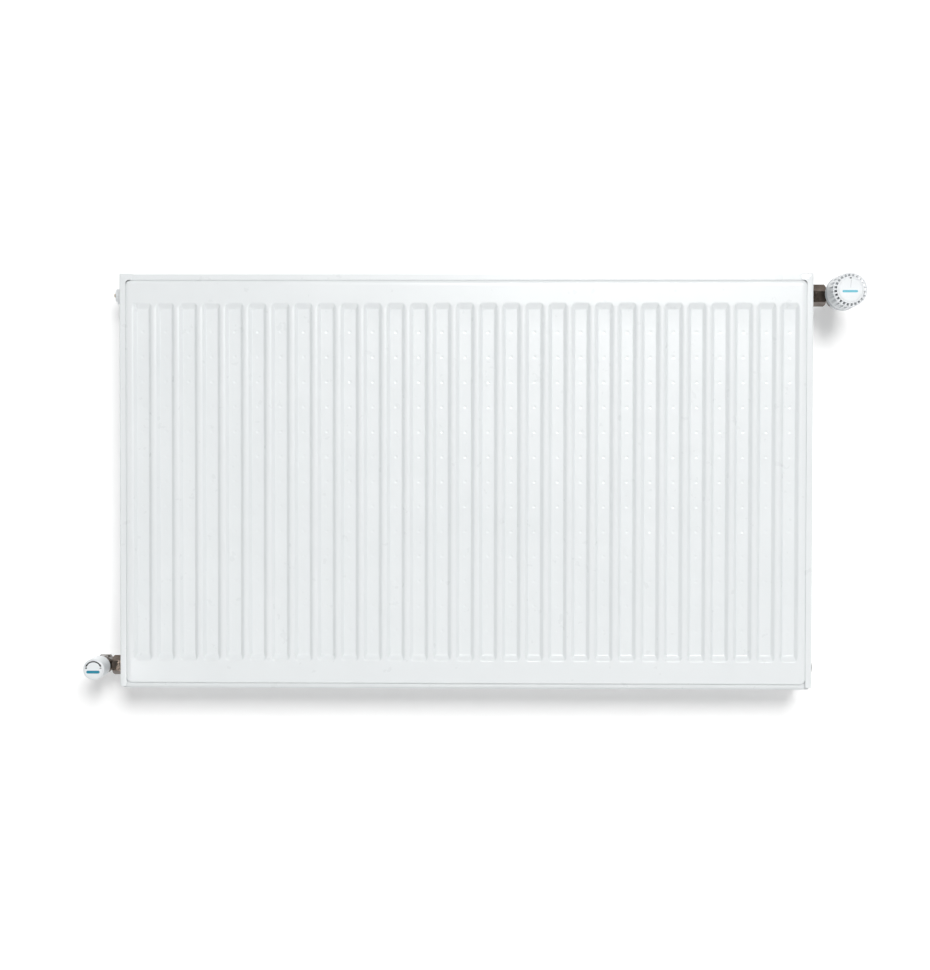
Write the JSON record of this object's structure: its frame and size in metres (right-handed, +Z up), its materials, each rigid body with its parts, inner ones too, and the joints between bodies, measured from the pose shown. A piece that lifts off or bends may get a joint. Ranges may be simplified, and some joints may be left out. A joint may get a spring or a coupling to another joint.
{
  "type": "radiator with valve",
  "caption": "Wall-hung double-panel steel radiator with convector fins, a thermostatic radiator valve, a return valve and an air vent.",
  "frame": {"origin": "centre of the four hanging-lug slots, on the plane that meets the wall", "axes": "+X to the right as seen from the room, +Y towards the wall, +Z up"},
  "size_m": [1.1242, 0.145, 0.6],
  "materials": {
    "painted_steel": "gloss white enamel",
    "white_plastic": "satin white",
    "grey_plastic": "satin grey",
    "dark_bronze": "darkened bronze, polished edges",
    "brass": "turned",
    "spring_steel": "drawn",
    "rubber": "matt"
  },
  "bodies": {
    "radiator": {"front_panel_outer": "painted_steel", "front_panel_inner": "painted_steel", "rear_panel_inner": "painted_steel", "rear_panel_outer": "painted_steel", "front_convector": "painted_steel", "rear_convector": "painted_steel", "header_tee_top_left": "painted_steel", "header_tee_top_right": "painted_steel", "header_tee_bottom_left": "painted_steel", "header_tee_bottom_right": "painted_steel", "side_cover_left": "painted_steel", "side_cover_right": "painted_steel", "top_grille": "painted_steel", "hanging_lug_top_left": "painted_steel", "hanging_lug_top_right": "painted_steel", "hanging_lug_bottom_left": "painted_steel", "hanging_lug_bottom_right": "painted_steel", "blanking_plug": "dark_bronze", "blanking_plug_seal": "rubber", "vent_plug": "dark_bronze", "vent_plug_seal": "rubber", "trv_tailpiece": "dark_bronze", "trv_tail_seal": "rubber", "trv_union_nut": "dark_bronze", "trv_body": "dark_bronze", "trv_bonnet": "brass", "trv_gland_nut": "brass", "trv_gland_o_ring": "rubber", "trv_return_spring": "spring_steel", "trv_collar_nut": "dark_bronze", "trv_head_base": "grey_plastic", "return_tailpiece": "dark_bronze", "return_tail_seal": "rubber", "return_union_nut": "dark_bronze", "return_body": "dark_bronze", "return_bonnet": "brass", "return_spindle_o_ring": "rubber"},
    "trv_handwheel": {"trv_handwheel": "white_plastic", "trv_face_disc": "white_plastic"},
    "trv_sensor": {"trv_sensor": "grey_plastic", "trv_push_rod": "white_plastic", "trv_overtravel_spring": "spring_steel"},
    "trv_stem": {"trv_stem": "spring_steel", "trv_disc": "brass", "trv_disc_washer": "rubber"},
    "return_knob": {"return_knob": "white_plastic", "return_knob_face": "white_plastic", "return_knob_screw": "spring_steel", "return_spindle": "spring_steel"},
    "return_plug": {"return_plug": "brass", "return_plug_washer": "rubber"},
    "vent_screw": {"vent_screw": "brass", "vent_screw_o_ring": "rubber"},
    "vent_outlet": {"vent_outlet_ring": "white_plastic"}
  },
  "joints": [
    {"name": "trv_handwheel_turn", "type": "hinge", "parent": "radiator", "child": "trv_handwheel", "pos_m": [0.5455, -0.063, 0.273], "axis": [0, -1, 0], "range_deg": [-150, 150]},
    {"name": "trv_sensor_travel", "type": "slide", "parent": "radiator", "child": "trv_sensor", "axis": [0, -1, 0], "range_m": [-0.0015, 0.0015], "deforming": ["trv_overtravel_spring"]},
    {"name": "trv_stem_travel", "type": "slide", "parent": "radiator", "child": "trv_stem", "axis": [0, -1, 0], "range_m": [-0.0015, 0.0015], "deforming": ["trv_return_spring"]},
    {"name": "return_knob_turn", "type": "hinge", "parent": "radiator", "child": "return_knob", "pos_m": [-0.538, -0.063, -0.273], "axis": [0, -1, 0], "range_deg": [-540, 540]},
    {"name": "return_plug_travel", "type": "slide", "parent": "return_knob", "child": "return_plug", "axis": [0, -1, 0], "range_m": [-0.0015, 0.0015]},
    {"name": "vent_screw_turn", "type": "hinge", "parent": "radiator", "child": "vent_screw", "pos_m": [-0.497, -0.063, 0.273], "axis": [-1, 0, 0], "range_deg": [0, 360]},
    {"name": "vent_outlet_turn", "type": "hinge", "parent": "radiator", "child": "vent_outlet", "pos_m": [-0.497, -0.063, 0.273], "axis": [-1, 0, 0], "continuous": true}
  ],
  "couplings": [
    {"joint": "trv_sensor_travel", "follows": "trv_handwheel_turn", "m_per_rad": 0.000572},
    {"joint": "trv_stem_travel", "follows": "trv_handwheel_turn", "m_per_rad": 0.000572},
    {"joint": "return_plug_travel", "follows": "return_knob_turn", "m_per_rad": 0.000159}
  ]
}
